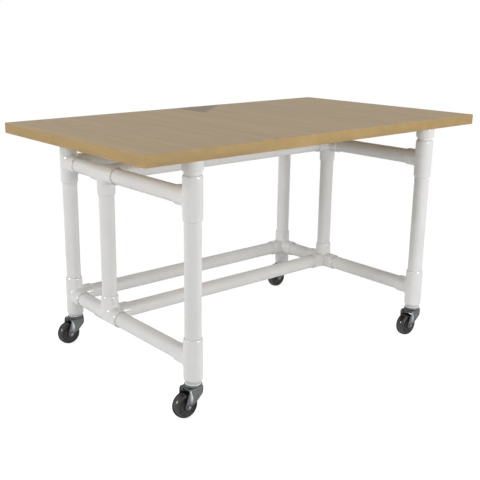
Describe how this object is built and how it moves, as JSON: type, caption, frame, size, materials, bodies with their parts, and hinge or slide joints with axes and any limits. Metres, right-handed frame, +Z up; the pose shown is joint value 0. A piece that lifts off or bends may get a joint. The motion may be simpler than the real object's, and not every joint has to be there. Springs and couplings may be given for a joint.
{
  "type": "assembly table",
  "caption": "Mobile assembly table: a thick laminated wooden worktop on an open frame of white plastic pipe and socket fittings, on swivel casters, with an open front for seated work.",
  "frame": {"origin": "on the floor, under the middle of the worktop", "axes": "+X along the worktop, +Y from the open front to the back, +Z up"},
  "size_m": [1.356, 0.783, 0.768],
  "materials": {
    "worktop": "clear satin lacquer",
    "pipe": "smooth",
    "fitting": "smooth moulded",
    "plug": "moulded",
    "fork": "dark plated sheet",
    "axle": "bright plated",
    "wheel": "smooth black"
  },
  "bodies": {
    "table": {"worktop": "worktop", "tee_top_front_left": "fitting", "tee_top_front_right": "fitting", "tee_bottom_front_left": "fitting", "tee_bottom_front_right": "fitting", "side_tee_top_middle_left": "fitting", "side_tee_top_middle_right": "fitting", "side_tee_bottom_middle_left": "fitting", "side_tee_bottom_middle_right": "fitting", "side_tee_top_back_left": "fitting", "side_tee_top_back_right": "fitting", "side_tee_bottom_back_left": "fitting", "side_tee_bottom_back_right": "fitting", "leg_front_left": "pipe", "leg_front_right": "pipe", "leg_middle_left": "pipe", "leg_middle_right": "pipe", "leg_back_left": "pipe", "leg_back_right": "pipe", "end_rail_top_front_left": "pipe", "end_rail_top_front_right": "pipe", "end_rail_top_back_left": "pipe", "end_rail_top_back_right": "pipe", "end_rail_bottom_front_left": "pipe", "end_rail_bottom_front_right": "pipe", "end_rail_bottom_back_left": "pipe", "end_rail_bottom_back_right": "pipe", "long_rail_top_middle": "pipe", "long_rail_top_back": "pipe", "long_rail_bottom_middle": "pipe", "long_rail_bottom_back": "pipe", "riser_front_left": "pipe", "riser_front_right": "pipe", "riser_back_left": "pipe", "riser_back_right": "pipe", "cap_front_left": "fitting", "cap_front_right": "fitting", "cap_back_left": "fitting", "cap_back_right": "fitting", "foot_pipe_front_left": "pipe", "foot_pipe_front_right": "pipe", "foot_pipe_back_left": "pipe", "foot_pipe_back_right": "pipe", "caster_plug_front_left": "plug", "caster_plug_front_right": "plug", "caster_plug_back_left": "plug", "caster_plug_back_right": "plug"},
    "swivel_front_left": {"caster_fork_front_left": "fork", "caster_axle_front_left": "axle"},
    "swivel_front_right": {"caster_fork_front_right": "fork", "caster_axle_front_right": "axle"},
    "swivel_back_left": {"caster_fork_back_left": "fork", "caster_axle_back_left": "axle"},
    "swivel_back_right": {"caster_fork_back_right": "fork", "caster_axle_back_right": "axle"},
    "wheel_front_left": {"caster_wheel_front_left": "wheel"},
    "wheel_front_right": {"caster_wheel_front_right": "wheel"},
    "wheel_back_left": {"caster_wheel_back_left": "wheel"},
    "wheel_back_right": {"caster_wheel_back_right": "wheel"}
  },
  "joints": [
    {"name": "swivel_turn_front_left", "type": "hinge", "parent": "table", "child": "swivel_front_left", "pos_m": [-0.491, -0.3375, 0.0972], "axis": [0, 0, 1], "continuous": true},
    {"name": "swivel_turn_front_right", "type": "hinge", "parent": "table", "child": "swivel_front_right", "pos_m": [0.491, -0.3375, 0.0972], "axis": [0, 0, 1], "continuous": true},
    {"name": "swivel_turn_back_left", "type": "hinge", "parent": "table", "child": "swivel_back_left", "pos_m": [-0.491, 0.3295, 0.0972], "axis": [0, 0, 1], "continuous": true},
    {"name": "swivel_turn_back_right", "type": "hinge", "parent": "table", "child": "swivel_back_right", "pos_m": [0.491, 0.3295, 0.0972], "axis": [0, 0, 1], "continuous": true},
    {"name": "wheel_turn_front_left", "type": "hinge", "parent": "swivel_front_left", "child": "wheel_front_left", "pos_m": [-0.521, -0.3375, 0.03825], "axis": [0, 1, 0], "continuous": true},
    {"name": "wheel_turn_front_right", "type": "hinge", "parent": "swivel_front_right", "child": "wheel_front_right", "pos_m": [0.461, -0.3375, 0.03825], "axis": [0, 1, 0], "continuous": true},
    {"name": "wheel_turn_back_left", "type": "hinge", "parent": "swivel_back_left", "child": "wheel_back_left", "pos_m": [-0.521, 0.3295, 0.03825], "axis": [0, 1, 0], "continuous": true},
    {"name": "wheel_turn_back_right", "type": "hinge", "parent": "swivel_back_right", "child": "wheel_back_right", "pos_m": [0.461, 0.3295, 0.03825], "axis": [0, 1, 0], "continuous": true}
  ]
}
